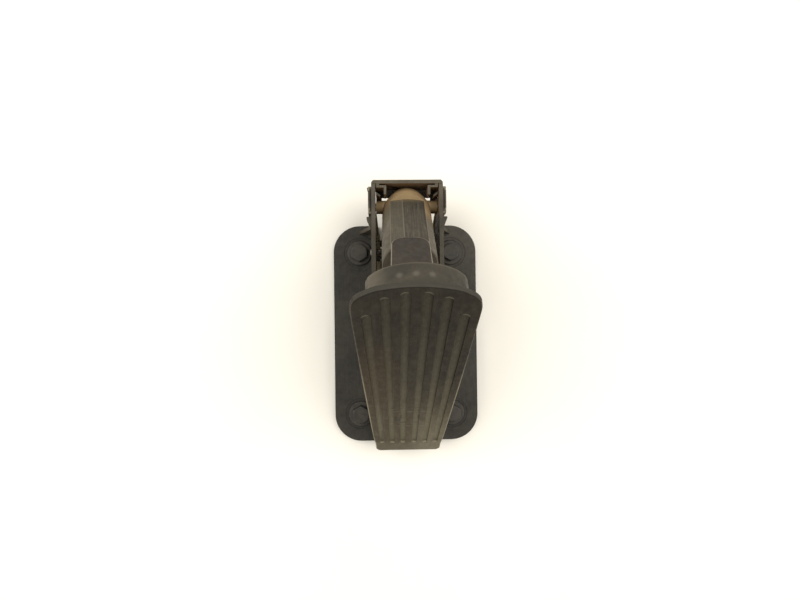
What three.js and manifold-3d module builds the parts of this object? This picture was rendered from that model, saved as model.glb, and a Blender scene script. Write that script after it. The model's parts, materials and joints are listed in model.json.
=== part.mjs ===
// A floor-standing foot pedal: a bolted base plate, a hinged treadle and a telescopic spring strut
// that leans from a housing at the back of the plate to the underside of the treadle.
// Millimetres, +Z up, +X right and +Y to the rear. The origin is the middle of the plate's underside.
import * as THREE from 'three';
import Module from 'manifold-3d';

const wasm = await Module();
wasm.setup();

// ---- driving dimensions ----
const GAP = 0.3; // assembly clearance between neighbouring pieces

const PLATE_X = 59; // half width of the base plate
const PLATE_Y = 89; // half length
const PLATE_H = 8;
const PLATE_CORNER = 22;
const PLATE_BEVEL = 1.2;
const NOTCH_X = 20.5; // half width of the notch at its inner end
const NOTCH_MOUTH_X = 22.3;
const NOTCH_Y = 77;

const BOLT_X = 37.7;
const BOLT_Y = 66.4;
const BOLT_R = 4; // M8
const HEX_FLATS = 13;
const HEX_H = 5.5;
const WASHER_R = 10.3;
const WASHER_H = 1.6;
const BOSS_R = 14.5;
const BOSS_H = 0.5;

const HEEL = [-80, 19]; // hinge of the treadle, as Y and Z
const HEEL_PIN_R = 3;
const TREADLE_DEG = 52.5; // slope of the treadle at rest
const TREADLE_FOOT = [-93.1, 25]; // lowest point of the treadle's face, as Y and Z
const TREADLE_LENGTH = 206.8;
const PAD_H = 4;
const GROOVE_DEPTH = 2;
const BODY_DEPTH = 24; // from the face to the open back of the treadle
const BODY_WALL = 2.5;

const STRUT_FOOT = [92.6, 52.6]; // centre of the barrel's dome, as Y and Z
const TRUNNION = [97.2, 52.6]; // axis the barrel tilts on, as Y and Z
const STRUT_DEG = 50; // slope of the strut at rest
const STRUT_LENGTH = 113.2; // centre of the dome to the ball
const BARREL_R = 19.1;
const BARREL_LENGTH = 68;
const BORE_R = 12.2;
const BORE_FLOOR = 12;
const TRACK_N = 14.2; // height of the flat track above the strut's axis
const TRACK_START = 3.6; // where the track begins, on the strut's axis, measured from the dome's centre
const TRACK_ARC = 2.6; // how far its rounded end falls back at the sides
const TUBE_R = 11.7;
const TUBE_START = 58;
const BALL_R = 6;
const TRUNNION_PIN_R = 3;
const TRUNNION_BOSS_R = 5;

const CHEEK_IN = 23.4;
const CHEEK_OUT = 26.3;
const HOUSING_TOP = 70;
const WALL_Y = [112, 114.6];

// ---- materials ----
const finish = (color, roughness, metalness = 0) =>
  new THREE.MeshStandardMaterial({ color, roughness, metalness });
const MAT = {
  plate: finish(0x403b37, 0.75),
  housing: finish(0x5b5447, 0.6),
  barrel: finish(0x766b57, 0.55),
  pad: finish(0x4a4538, 0.7),
  body: finish(0x575044, 0.6),
  dark: finish(0x2b2723, 0.65),
  tongue: finish(0x4a443d, 0.45),
  steel: finish(0x8b8a86, 0.4, 0.9),
  bolt: finish(0x45413c, 0.5, 0.7),
  spring: finish(0x9a9a98, 0.35, 1),
  nylon: finish(0xd8d2c0, 0.5),
  brass: finish(0xb08d4a, 0.35, 1),
  board: finish(0x2f5a3a, 0.5),
  rubber: finish(0x1d1c1b, 0.9),
};

// ---- solids ----
function solidOf(geometry, matrix) {
  const g = geometry.index ? geometry.toNonIndexed() : geometry.clone();
  if (matrix) g.applyMatrix4(matrix);
  const mesh = new wasm.Mesh({
    numProp: 3,
    vertProperties: new Float32Array(g.attributes.position.array),
    triVerts: Uint32Array.from({ length: g.attributes.position.count }, (_, i) => i),
  });
  mesh.merge();
  return new wasm.Manifold(mesh);
}

const join = (first, ...rest) => rest.reduce((a, b) => a.add(b), first);
const cut = (first, ...rest) => rest.reduce((a, b) => a.subtract(b), first);

function meshOf(name, solid, material) {
  const m = solid.getMesh();
  const points = new Float32Array(m.numVert * 3);
  for (let i = 0; i < m.numVert; i += 1) {
    for (let k = 0; k < 3; k += 1) points[3 * i + k] = m.vertProperties[i * m.numProp + k];
  }
  const g = new THREE.BufferGeometry();
  g.setAttribute('position', new THREE.BufferAttribute(points, 3));
  g.setIndex(new THREE.BufferAttribute(new Uint32Array(m.triVerts), 1));
  g.computeVertexNormals();
  const mesh = new THREE.Mesh(g, material);
  mesh.name = name;
  return mesh;
}

// A prism over a closed outline of [a, b] points, from low to high along the third axis.
function prism(outline, low, high, holes = []) {
  const shape = new THREE.Shape(outline.map(([a, b]) => new THREE.Vector2(a, b)));
  for (const hole of holes) {
    shape.holes.push(new THREE.Path(hole.map(([a, b]) => new THREE.Vector2(a, b))));
  }
  const g = new THREE.ExtrudeGeometry(shape, { depth: high - low, bevelEnabled: false, steps: 1 });
  g.translate(0, 0, low);
  return solidOf(g);
}

function box(x0, x1, y0, y1, z0, z1) {
  const g = new THREE.BoxGeometry(x1 - x0, y1 - y0, z1 - z0);
  g.translate((x0 + x1) / 2, (y0 + y1) / 2, (z0 + z1) / 2);
  return solidOf(g);
}

// A turned body about Z from [radius, height] points that start and end on the axis.
const turned = (profile, segments = 24) =>
  solidOf(new THREE.LatheGeometry(profile.map(([r, z]) => new THREE.Vector2(r, z)), segments),
    new THREE.Matrix4().makeRotationX(Math.PI / 2));

const cylinder = (r, low, high, segments = 24) =>
  turned([[0, low], [r, low], [r, high], [0, high]], segments);

const ball = (r, segments = 24) =>
  solidOf(new THREE.SphereGeometry(r, segments, segments / 2), new THREE.Matrix4().makeRotationX(Math.PI / 2));

function ring(cx, cy, r, count = 24, phase = 0) {
  return Array.from({ length: count }, (_, i) => {
    const a = phase + (2 * Math.PI * i) / count;
    return [cx + r * Math.cos(a), cy + r * Math.sin(a)];
  });
}

const rad = (deg) => (deg * Math.PI) / 180;
const placed = (solid, matrix) => solid.transform(Array.from(matrix.elements));
const shifted = (solid, x, y, z) => placed(solid, new THREE.Matrix4().makeTranslation(x, y, z));
const mirrored = (solid) => placed(solid, new THREE.Matrix4().makeScale(-1, 1, 1));

// Lays a body drawn along Z onto X.
const ALONG_X = new THREE.Matrix4().makeRotationY(Math.PI / 2);
// Stands an outline drawn as [Y, Z] up and pushes it along X.
const OUTLINE_YZ = new THREE.Matrix4().makeBasis(
  new THREE.Vector3(0, 1, 0), new THREE.Vector3(0, 0, 1), new THREE.Vector3(1, 0, 0));
// Stands an outline drawn as [X, Z] up: its third axis is -Y.
const OUTLINE_XZ = new THREE.Matrix4().makeBasis(
  new THREE.Vector3(1, 0, 0), new THREE.Vector3(0, 0, 1), new THREE.Vector3(0, -1, 0));

const rodX = (r, x0, x1, y, z, segments = 24) =>
  shifted(placed(cylinder(r, x0, x1, segments), ALONG_X), 0, y, z);
const slabYZ = (outline, x0, x1, holes) => placed(prism(outline, x0, x1, holes), OUTLINE_YZ);
const slabXZ = (outline, y0, y1, holes) => placed(prism(outline, -y1, -y0, holes), OUTLINE_XZ);

function frameAt(y, z, deg, firstSign) {
  const c = Math.cos(rad(deg));
  const s = Math.sin(rad(deg));
  const second = firstSign > 0 ? new THREE.Vector3(0, c, s) : new THREE.Vector3(0, s, c);
  const third = firstSign > 0 ? new THREE.Vector3(0, -s, c) : new THREE.Vector3(0, -c, s);
  const m = new THREE.Matrix4().makeBasis(new THREE.Vector3(1, 0, 0), second, third);
  return m.setPosition(0, y, z);
}
// Treadle frame: X, up the slope, and out of the face.
const TREADLE = frameAt(TREADLE_FOOT[0], TREADLE_FOOT[1], TREADLE_DEG, 1);
// Strut frame: X, up out of the track, and along the strut toward the treadle.
const STRUT = frameAt(STRUT_FOOT[0], STRUT_FOOT[1], STRUT_DEG, -1);

const parts = [];
const add = (name, solid, material) => parts.push(meshOf(name, solid, material));
const addPair = (name, right, material) => {
  add(`${name}_right`, right, material);
  add(`${name}_left`, mirrored(right), material);
};

// ---- base plate with its bolts ----
function roundedRectangle(hx, hy, r, steps = 7) {
  const points = [];
  for (const [cx, cy, start] of [[1, -1, -90], [1, 1, 0], [-1, 1, 90], [-1, -1, 180]]) {
    for (let i = 0; i <= steps; i += 1) {
      const a = rad(start + (90 * i) / steps);
      points.push([cx * (hx - r) + r * Math.cos(a), cy * (hy - r) + r * Math.sin(a)]);
    }
  }
  return points;
}

// A rounded slab whose upper edge leans in.
function bevelledSlab(hx, hy, r, height, bevel) {
  const low = roundedRectangle(hx, hy, r);
  const high = roundedRectangle(hx - bevel, hy - bevel, r - bevel);
  const n = low.length;
  const rows = [[low, 0], [low, height - bevel], [high, height]];
  const p = rows.flatMap(([row, z]) => row.map(([x, y]) => [x, y, z]));
  p.push([0, 0, 0], [0, 0, height]);
  const faces = [];
  for (let k = 0; k < 2; k += 1) {
    for (let i = 0; i < n; i += 1) {
      const j = (i + 1) % n;
      faces.push([k * n + i, k * n + j, k * n + n + j], [k * n + i, k * n + n + j, k * n + n + i]);
    }
  }
  for (let i = 0; i < n; i += 1) {
    const j = (i + 1) % n;
    faces.push([3 * n, j, i], [3 * n + 1, 2 * n + i, 2 * n + j]);
  }
  const g = new THREE.BufferGeometry();
  g.setAttribute('position', new THREE.Float32BufferAttribute(faces.flat().flatMap((i) => p[i]), 3));
  return solidOf(g);
}

const CORNERS = [[1, 1], [-1, 1], [-1, -1], [1, -1]];
const CHEEK_SCREW_Y = [22, 62];

function basePlate() {
  let plate = bevelledSlab(PLATE_X, PLATE_Y, PLATE_CORNER, PLATE_H, PLATE_BEVEL);
  for (const [sx, sy] of CORNERS) {
    plate = join(plate, shifted(cylinder(BOSS_R, 0.5, PLATE_H + BOSS_H, 32), sx * BOLT_X, sy * BOLT_Y, 0));
    plate = cut(plate, shifted(cylinder(BOLT_R + GAP, -1, PLATE_H + 2, 20), sx * BOLT_X, sy * BOLT_Y, 0));
  }
  for (const x of [[-27, -20], [20, 27]]) plate = cut(plate, box(x[0], x[1], 45, 80, PLATE_H, PLATE_H + 4));
  const notch = [[-NOTCH_X, NOTCH_Y], [NOTCH_X, NOTCH_Y],
    [NOTCH_MOUTH_X, PLATE_Y + 2], [-NOTCH_MOUTH_X, PLATE_Y + 2]];
  plate = cut(plate, prism(notch, -1, PLATE_H + 1));
  for (const x of [-HEEL_SCREW_X, HEEL_SCREW_X]) {
    plate = cut(plate, shifted(cylinder(1.8, 2, PLATE_H + 1, 12), x, HEEL[0] + HEEL_SCREW_DY, 0));
  }
  for (const y of CHEEK_SCREW_Y) {
    for (const x of [-FOOT_SCREW_X, FOOT_SCREW_X]) {
      plate = cut(plate, shifted(cylinder(1.8, 2, PLATE_H + 1, 12), x, y, 0));
    }
  }
  return plate;
}

function addBoltSets() {
  const seat = PLATE_H + BOSS_H;
  const washer = cut(cylinder(WASHER_R, seat + 0.02, seat + WASHER_H, 32),
    cylinder(BOLT_R + GAP, 0, seat + 5, 20));
  const headLow = seat + WASHER_H + 0.02;
  const hex = prism(ring(0, 0, HEX_FLATS / Math.sqrt(3), 6, Math.PI / 2), headLow, headLow + HEX_H);
  const crown = turned([[0, headLow - 1], [9, headLow - 1], [9, headLow + HEX_H - 1.4],
    [6.4, headLow + HEX_H + 0.1], [0, headLow + HEX_H + 0.1]], 24);
  const bolt = join(hex.intersect(crown), cylinder(BOLT_R, 0.6, headLow + 1, 20));
  CORNERS.forEach(([sx, sy], i) => {
    add(`base_washer_${i + 1}`, shifted(washer, sx * BOLT_X, sy * BOLT_Y, 0), MAT.bolt);
    add(`base_bolt_${i + 1}`, shifted(bolt, sx * BOLT_X, sy * BOLT_Y, 0), MAT.bolt);
  });
}

// A pan-head screw that stands on a face at z = 0, its shank below.
const panScrew = (headR, headH, shankR, depth) => join(
  cut(turned([[0, 0.02], [headR, 0.02], [headR, headH * 0.55], [headR * 0.7, headH], [0, headH]], 16),
    box(-0.4, 0.4, -headR * 0.6, headR * 0.6, headH * 0.5, headH + 1),
    box(-headR * 0.6, headR * 0.6, -0.4, 0.4, headH * 0.5, headH + 1)),
  cylinder(shankR, -depth, 0.1, 12));

// ---- heel hinge ----
const EAR_X = [14, 17.5];
const LUG_X = [18, 21.5];
const HEEL_SCREW_X = 7.5;
const HEEL_SCREW_DY = 6;

function heelBracket() {
  const [y, z] = HEEL;
  const low = PLATE_H + 0.02;
  const ear = [[y - 8.5, low], [y + 13, low], [y + 13, low + 3], [y + 6, z + 3.5],
    [y + 3.5, z + 6], [y - 3.5, z + 6], [y - 6, z + 3.5]];
  const hole = ring(y, z, HEEL_PIN_R + 0.06, 24);
  const rightEar = slabYZ(ear, EAR_X[0], EAR_X[1], [hole]);
  let bracket = join(rightEar, mirrored(rightEar), box(-EAR_X[1], EAR_X[1], y - 8.5, y + 13, low, low + 2.5));
  for (const x of [-HEEL_SCREW_X, HEEL_SCREW_X]) {
    bracket = cut(bracket, shifted(cylinder(1.9, low - 1, low + 4, 12), x, y + HEEL_SCREW_DY, 0));
  }
  return bracket;
}

function addHeelHinge() {
  const [y, z] = HEEL;
  add('heel_bracket', heelBracket(), MAT.steel);
  const screw = panScrew(3.2, 2.2, 1.5, 6.5);
  for (const [side, x] of [['right', HEEL_SCREW_X], ['left', -HEEL_SCREW_X]]) {
    add(`heel_screw_${side}`, shifted(screw, x, y + HEEL_SCREW_DY, PLATE_H + 2.52), MAT.steel);
  }
  let pin = rodX(HEEL_PIN_R, -24, 24, y, z);
  for (const x of [-22.6, 22.6]) {
    pin = cut(pin, cut(rodX(HEEL_PIN_R + 1, x - 0.5, x + 0.5, y, z), rodX(2.3, x - 1, x + 1, y, z)));
  }
  add('heel_pin', pin, MAT.steel);
  const clip = cut(rodX(5, 22.25, 22.95, y, z), rodX(2.42, 22, 23.2, y, z),
    box(22, 23.2, y - 1.6, y + 1.6, z, z + 6));
  addPair('heel_clip', clip, MAT.spring);
}

// ---- housing: two cheeks, rear wall, cradle, ties and covers ----
const FOOT_SCREW_X = 19.4;
const TIE_HOLES = [[30, 30], [66, 20]];

const CHEEK_OUTLINE = [[-8, 8.02], [77, 8.02], [95, 36], [111.7, 36], [111.7, HOUSING_TOP],
  [50, HOUSING_TOP], [38, 66], [2, 26], [-8, 18]];

function rightCheek() {
  let cheek = slabYZ(CHEEK_OUTLINE, CHEEK_IN, CHEEK_OUT);
  const foot = prism([[15.6, -8], [CHEEK_IN + 0.5, -8], [CHEEK_IN + 0.5, 76.5], [20.8, 76.5], [20.2, 70],
    [15.6, 70]], 8.02, 10.5);
  const gusset = slabXZ([[CHEEK_OUT - 0.5, 8.02], [37.5, 8.02], [36.6, 11.5], [CHEEK_OUT - 0.5, 47]], 82, 84.6);
  const heel = box(CHEEK_OUT - 0.5, 30, 79, 88.5, 8.02, 10.5);
  const keel = slabYZ([[74, 8.02], [77, 8.02], [95, 36], [95, 38.5], [91.8, 38.5]], 20.7, CHEEK_IN + 0.5);
  const taper = prism([[10, 70], [20.7, 77], [22.8, 95], [22.8, 99], [10, 99]], 0, 60);
  cheek = join(cheek, foot, gusset, heel, cut(keel, taper));
  for (const [y, z, w] of [[44, 58, 3], [57, 50, 3], [68, 43, 4], [76, 36, 2.5]]) {
    cheek = join(cheek, box(20.4, CHEEK_IN + 0.5, y, y + w, z - 12, z));
  }
  const lip = slabYZ([[36, 60], [46, 66.5], [111.7, 66.5], [111.7, 68.4], [46, 68.4], [36, 62]],
    CHEEK_OUT - 0.4, CHEEK_OUT + 0.4);
  cheek = join(cheek, cut(lip, box(20, 30, 80, 120, 60, 75)));
  cheek = cut(cheek, rodX(5.3, 20, 28, ...TRUNNION));
  for (const [y, z] of TIE_HOLES) cheek = cut(cheek, rodX(1.8, 20, 28, y, z, 12));
  for (const y of CHEEK_SCREW_Y) {
    cheek = cut(cheek, shifted(cylinder(1.8, 7, 12, 12), FOOT_SCREW_X, y, 0));
  }
  return cheek;
}

function rearWall() {
  const [y0, y1] = WALL_Y;
  const chamfer = [[-26.3, y0], [26.3, y0], [26.3, y0 + 0.9], [24.9, y1], [-24.9, y1], [-26.3, y0 + 0.9]];
  const tab = slabXZ([[-11.5, 24], [11.5, 24], [11.5, 37], [-11.5, 37]], y0, y1);
  let wall = join(prism(chamfer, 36.3, HOUSING_TOP), tab);
  wall = cut(wall, box(-8.3, 8.3, y0 - 1, y1 + 1, 26.7, 36.3));
  const rail = join(box(15.3, 17, 104.2, 110.8, 50.5, 69), box(16, 22.9, 109.3, 110.8, 50.5, 69),
    box(20.6, 22.9, 110, y0 + 0.5, 50.5, 69));
  return join(wall, rail, mirrored(rail));
}

// The shelf behind the barrel's dome, with a see-through slot beside each trunnion.
function rearShelf() {
  const half = [[22.9, 111.6], [22.9, 101.6], [19, 101.6], [18.6, 102], [18.6, 105.6], [8, 105.6]];
  const plan = [...half, ...half.slice().reverse().map(([x, y]) => [-x, y])];
  let shelf = prism(plan, 44, 46.6);
  const brace = prism([[22.9, 106], [22.9, 108], [19.6, 103.6], [19.6, 101.7], [20.4, 102.4]], 46.3, 47.2);
  const post = prism([[22.9, 104.6], [22.9, 107], [19.8, 104.4], [19.8, 103.2]], 46.3, 65);
  shelf = join(shelf, brace, mirrored(brace), post, mirrored(post));
  shelf = join(shelf, box(-22.9, 22.9, 109.6, 111.6, 38, 45));
  return cut(shelf, shifted(ball(BARREL_R + 0.7, 32), 0, ...STRUT_FOOT));
}

function sideCover() {
  const shell = slabYZ([[90.6, 41], [94, 38], [107, 38], [110.4, 41], [110.4, 66], [107, 69], [94, 69],
    [90.6, 66]], CHEEK_OUT + 0.1, 28.7);
  const pocket = box(26, 27.6, 92.4, 108.6, 42, 75);
  const upper = prism([[28, 106.8], [29.6, 110.2], [28, 110.9], [27, 110.9], [27, 106.8]], 50, 62);
  const wedge = prism([[CHEEK_OUT + 0.1, 80.6], [27.4, 80.8], [30.2, 87.8], [29.8, 88.8], [CHEEK_OUT + 0.1, 88.8]], 48, 62);
  const strap = box(CHEEK_OUT + 0.1, 27.6, 86, 94, 50, 60);
  return cut(join(shell, upper, wedge, strap), pocket);
}

function addHousing() {
  addPair('cheek', rightCheek(), MAT.housing);
  add('rear_wall', rearWall(), MAT.housing);
  add('rear_shelf', rearShelf(), MAT.housing);
  const screw = panScrew(3.1, 2, 1.5, 6.5);
  let k = 0;
  for (const y of CHEEK_SCREW_Y) {
    for (const x of [FOOT_SCREW_X, -FOOT_SCREW_X]) {
      k += 1;
      add(`foot_screw_${k}`, shifted(screw, x, y, 10.52), MAT.steel);
    }
  }
  TIE_HOLES.forEach(([y, z], i) => {
    const bore = join(rodX(1.7, -24, -15, y, z, 12), rodX(1.7, 15, 24, y, z, 12));
    add(`cross_tie_${i + 1}`, cut(rodX(4.5, -20.2, 20.2, y, z, 20), bore), MAT.steel);
    const side = placed(panScrew(3.1, 2, 1.4, 9), ALONG_X);
    add(`tie_screw_${i + 1}_right`, shifted(side, CHEEK_OUT, y, z), MAT.steel);
    add(`tie_screw_${i + 1}_left`, mirrored(shifted(side, CHEEK_OUT, y, z)), MAT.steel);
  });
  const bush = cut(rodX(5, CHEEK_IN + 0.1, CHEEK_OUT - 0.1, ...TRUNNION),
    rodX(TRUNNION_PIN_R + 0.06, 21, 28, ...TRUNNION));
  addPair('trunnion_bushing', bush, MAT.nylon);
  addPair('side_cover', sideCover(), MAT.housing);
}

function addSensor() {
  const [y, z] = TRUNNION;
  add('sensor_board', box(26.5, 27.3, 93, 108, 42.4, 63.6), MAT.board);
  const pin = rodX(TRUNNION_PIN_R, -26.2, 26.2, y, z);
  add('trunnion_pin', cut(pin, rodX(2.3, 24.4, 27, y, z)), MAT.steel);
  add('sensor_magnet', rodX(2.1, 24.6, 26.1, y, z), MAT.dark);
  const shell = box(-8, 8, 102.8, WALL_Y[1], 27, 36);
  let socket = cut(shell, box(-6.4, 6.4, 104, 116, 28.6, 34.4));
  for (const x of [-4, 0, 4]) socket = cut(socket, box(x - 0.8, x + 0.8, 100, 105, 30.7, 32.3));
  add('cable_socket', socket, MAT.dark);
  [-4, 0, 4].forEach((x, i) => {
    add(`socket_contact_${i + 1}`, box(x - 0.5, x + 0.5, 99.5, 111, 31, 32), MAT.brass);
  });
}

// ---- strut ----
function strutBarrel() {
  const seg = 36;
  let barrel = join(ball(BARREL_R, seg), cylinder(BARREL_R, 0, BARREL_LENGTH, seg));
  const end = [-30, -13, -8, -4, 0, 4, 8, 13, 30].map((x) => {
    const share = Math.min(1, Math.abs(x) / 13);
    return [x, TRACK_START + TRACK_ARC * share * share];
  });
  const top = BARREL_LENGTH + 1;
  barrel = cut(barrel, slabXZ([[30, top], [-30, top], ...end], TRACK_N, 30));
  barrel = cut(barrel, cylinder(BORE_R, BORE_FLOOR, BARREL_LENGTH + 1, 32));
  const flat = box(-12.6, 12.6, -30, -15.4, 20, BARREL_LENGTH + 1);
  barrel = cut(barrel, flat);
  barrel = join(placed(barrel, STRUT), cut(rodX(TRUNNION_BOSS_R, -22.9, 22.9, ...TRUNNION),
    rodX(TRUNNION_BOSS_R + 1, -14, 14, ...TRUNNION)));
  return cut(barrel, rodX(TRUNNION_PIN_R + 0.03, -30, 30, ...TRUNNION));
}

function coil(radius, wire, low, high, turns, sides = 6, steps = 14) {
  const n = Math.round(turns * steps);
  const rows = [];
  for (let i = 0; i <= n; i += 1) {
    const a = (2 * Math.PI * i) / steps;
    const z = low + ((high - low) * i) / n;
    rows.push(Array.from({ length: sides }, (_, k) => {
      const b = (2 * Math.PI * k) / sides;
      const r = radius + wire * Math.cos(b);
      return [r * Math.cos(a), r * Math.sin(a), z + wire * Math.sin(b)];
    }));
  }
  const p = [];
  for (let i = 0; i < n; i += 1) {
    for (let k = 0; k < sides; k += 1) {
      const m = (k + 1) % sides;
      p.push(rows[i][k], rows[i + 1][k], rows[i + 1][m], rows[i][k], rows[i + 1][m], rows[i][m]);
    }
  }
  for (let k = 1; k < sides - 1; k += 1) {
    p.push(rows[0][0], rows[0][k], rows[0][k + 1], rows[n][0], rows[n][k + 1], rows[n][k]);
  }
  const g = new THREE.BufferGeometry();
  g.setAttribute('position', new THREE.Float32BufferAttribute(p.flat(), 3));
  const solid = solidOf(g);
  if (solid.volume() > 0) return solid;
  const back = [];
  for (let i = 0; i < p.length; i += 3) back.push(p[i], p[i + 2], p[i + 1]);
  g.setAttribute('position', new THREE.Float32BufferAttribute(back.flat(), 3));
  return solidOf(g);
}

function plunger() {
  const seat = TUBE_START + 38;
  const tube = turned([[0, seat], [9.6, seat], [9.6, TUBE_START], [TUBE_R, TUBE_START], [TUBE_R, 103],
    [14.2, 103], [14.2, 107], [9, 107.4], [4.2, 108.6], [3.4, 110], [0, 110]], 28);
  const neck = join(cylinder(3.4, 108, STRUT_LENGTH, 16), placed(ball(BALL_R, 20),
    new THREE.Matrix4().makeTranslation(0, 0, STRUT_LENGTH)));
  const saddle = box(-10, 10, 8, 14.5, 102.8, 107);
  let solid = join(tube, neck, saddle);
  for (const x of [-6, 6]) {
    solid = cut(solid, placed(cylinder(1.4, 8, 20, 12),
      new THREE.Matrix4().makeTranslation(x, 0, 104.9).multiply(new THREE.Matrix4().makeRotationX(-Math.PI / 2))));
  }
  return placed(solid, STRUT);
}

const TONGUE_Y = [TRACK_N + 0.6, TRACK_N + 3];
function guideTongue() {
  const arch = [];
  for (let i = 0; i <= 12; i += 1) {
    const a = rad(180 + (180 * i) / 12);
    const flat = Math.sign(Math.cos(a)) * Math.abs(Math.cos(a)) ** 0.75;
    arch.push([12.9 * flat, 66.5 + 8.8 * Math.sin(a)]);
  }
  const outline = [...arch, [13.7, 100], [13.7, 107], [-13.7, 107], [-13.7, 100]];
  const lay = new THREE.Matrix4().makeBasis(
    new THREE.Vector3(1, 0, 0), new THREE.Vector3(0, 0, 1), new THREE.Vector3(0, -1, 0));
  let tongue = placed(prism(outline, -TONGUE_Y[1], -TONGUE_Y[0]), lay);
  for (const x of [-6, 6]) {
    tongue = cut(tongue, placed(cylinder(1.8, 10, 22, 12),
      new THREE.Matrix4().makeTranslation(x, 0, 104.9).multiply(new THREE.Matrix4().makeRotationX(-Math.PI / 2))));
  }
  return placed(tongue, STRUT);
}

function addStrut() {
  add('strut_barrel', strutBarrel(), MAT.barrel);
  const bumper = cut(cylinder(11.6, BORE_FLOOR + 0.1, BORE_FLOOR + 3, 24), cylinder(3, 0, 30, 16));
  add('strut_bumper', placed(bumper, STRUT), MAT.rubber);
  const low = BORE_FLOOR + 3.3;
  const high = TUBE_START + 37.7;
  add('return_spring_outer', placed(coil(8, 1.1, low + 1.1, high - 1.1, 9), STRUT), MAT.spring);
  add('return_spring_inner', placed(coil(5, 0.8, low + 0.8, high - 0.8, 12, 5, 12), STRUT), MAT.spring);
  add('strut_plunger', plunger(), MAT.dark);
  add('guide_tongue', guideTongue(), MAT.tongue);
  const screw = panScrew(2.7, 1.5, 1.2, 5.4);
  for (const [side, x] of [['right', 6], ['left', -6]]) {
    const seat = new THREE.Matrix4().makeTranslation(x, TONGUE_Y[1], 104.9)
      .multiply(new THREE.Matrix4().makeRotationX(-Math.PI / 2));
    add(`tongue_screw_${side}`, placed(placed(screw, seat), STRUT), MAT.steel);
  }
}

// ---- treadle ----
// Half widths of the treadle's face at stations up its slope, up to where the head rounds over.
const PAD_SIDE = [[2, 25.4], [12, 25.9], [25, 27.4], [65, 30.2], [99, 32.5], [129, 34.3], [156, 35.9],
  [180, 37.3], [187.5, 37.3], [193, 36], [196.5, 33.4], [199, 30.2]];
const headArc = (x, top) => top - 0.0069 * x * x;

function padOutline() {
  const right = [[22.6, 0], [24.6, 0.6], ...PAD_SIDE.map(([s, w]) => [w, s])];
  for (const x of [24, 18, 12, 6]) right.push([x, headArc(x, TREADLE_LENGTH)]);
  return [...right, [0, TREADLE_LENGTH], ...right.slice().reverse().map(([x, s]) => [-x, s])];
}

const BODY_SIDE = [[2, 21], [25, 22.4], [65, 24.7], [99, 26.6], [129, 28.4], [156, 29.6], [179, 30.4]];
const BODY_HEAD = [[29.4, 184.6], [27.2, 188.6], [22.4, 193], [16.4, 196.4], [8.6, 198.8]];
const BODY_LEAN = 1.4; // the body's head sits this far to the right of the face's middle

function leanAt(s) {
  const share = Math.min(1, Math.max(0, (s - 90) / 90));
  return BODY_LEAN * share * share * (3 - 2 * share);
}

function bodyOutline(inset) {
  const right = BODY_SIDE.map(([s, w]) => [w - inset, Math.max(s, 2 + inset)]);
  const scale = 1 - inset / 30;
  for (const [x, s] of BODY_HEAD) right.push([x * scale, 179 + (s - 179) * scale * 0.98]);
  const whole = [...right, [0, 199.4 - inset], ...right.slice().reverse().map(([x, s]) => [-x, s])];
  return whole.map(([x, s]) => [x + leanAt(s), s]);
}

const GROOVES = [[4.3, 6.1, 201], [12.6, 17.4, 196.6], [20.7, 28.1, 180.6]];

function groove(bottomX, topX, top) {
  const low = 13.5;
  const [w0, w1] = [1.9, 3.1];
  const side = Math.sign(topX);
  const tilt = side * (Math.abs(topX) > 20 ? 1.6 : 0.6);
  return prism([[bottomX - w0, low + 0.7], [bottomX - w0 + 0.7, low], [bottomX + w0 - 0.7, low],
    [bottomX + w0, low + 0.7], [topX + w1, top - 1 - tilt - 1], [topX + w1 - 1, top - tilt],
    [topX - w1 + 1, top + tilt], [topX - w1, top - 1 + tilt - 1]], -GROOVE_DEPTH, 2);
}

const PAD_SCREWS = [[-9.6, 60], [9.6, 60], [-10.8, 174], [10.8, 174]];
const BALL_SEAT_S = 159.4;
const BALL_DEPTH = 20;

function treadlePad() {
  let pad = prism(padOutline(), -PAD_H, 0);
  for (const [bottomX, topX, top] of GROOVES) {
    pad = cut(pad, groove(bottomX, topX, top), groove(-bottomX, -topX, top));
  }
  for (const [x, s] of PAD_SCREWS) pad = cut(pad, shifted(cylinder(1.4, -5, -1.4, 12), x, s, 0));
  return placed(pad, TREADLE);
}

function treadleBody() {
  const skin = -PAD_H - 0.02;
  const floor = skin - BODY_WALL;
  let body = prism(bodyOutline(0), -BODY_DEPTH, skin);
  body = cut(body, prism(bodyOutline(BODY_WALL), -BODY_DEPTH - 1, floor));
  for (const x of [-14.6, 14.6]) {
    body = join(body, box(x - 1, x + 1, 26, 192, -13, floor + 0.5));
  }
  for (const s of [40, 75, 110, 140, 182]) {
    body = join(body, box(-21, 21, s - 1, s + 1, -12, floor + 0.5));
  }
  const lug = rodX(7.2, LUG_X[0], LUG_X[1] + 0.2, 0, 0);
  const lugAt = new THREE.Matrix4().makeTranslation(0, 3.2, -14.05);
  const web = box(LUG_X[0], LUG_X[1] + 0.2, 2.2, 14, -20, floor + 0.5);
  const lugs = join(placed(lug, lugAt), web);
  body = cut(body, box(-30, 30, -6, 2 + BODY_WALL + 0.1, -30, -15), box(-17.8, 17.8, -6, 8, -30, floor));
  body = join(body, lugs, mirrored(lugs));
  const bore = placed(rodX(4.9, -40, 40, 0, 0), lugAt);
  body = cut(body, bore);
  body = cut(body, box(-LUG_X[0] + 0.02, LUG_X[0] - 0.02, -6, 20, -30, -7.2));
  const boss = shifted(cylinder(11, -9.6, floor + 0.5, 24), 0, BALL_SEAT_S, 0);
  body = join(body, boss);
  for (const [x, s] of PAD_SCREWS) body = cut(body, shifted(cylinder(1.6, -12, 0, 12), x, s, 0));
  return placed(body, TREADLE);
}

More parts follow.
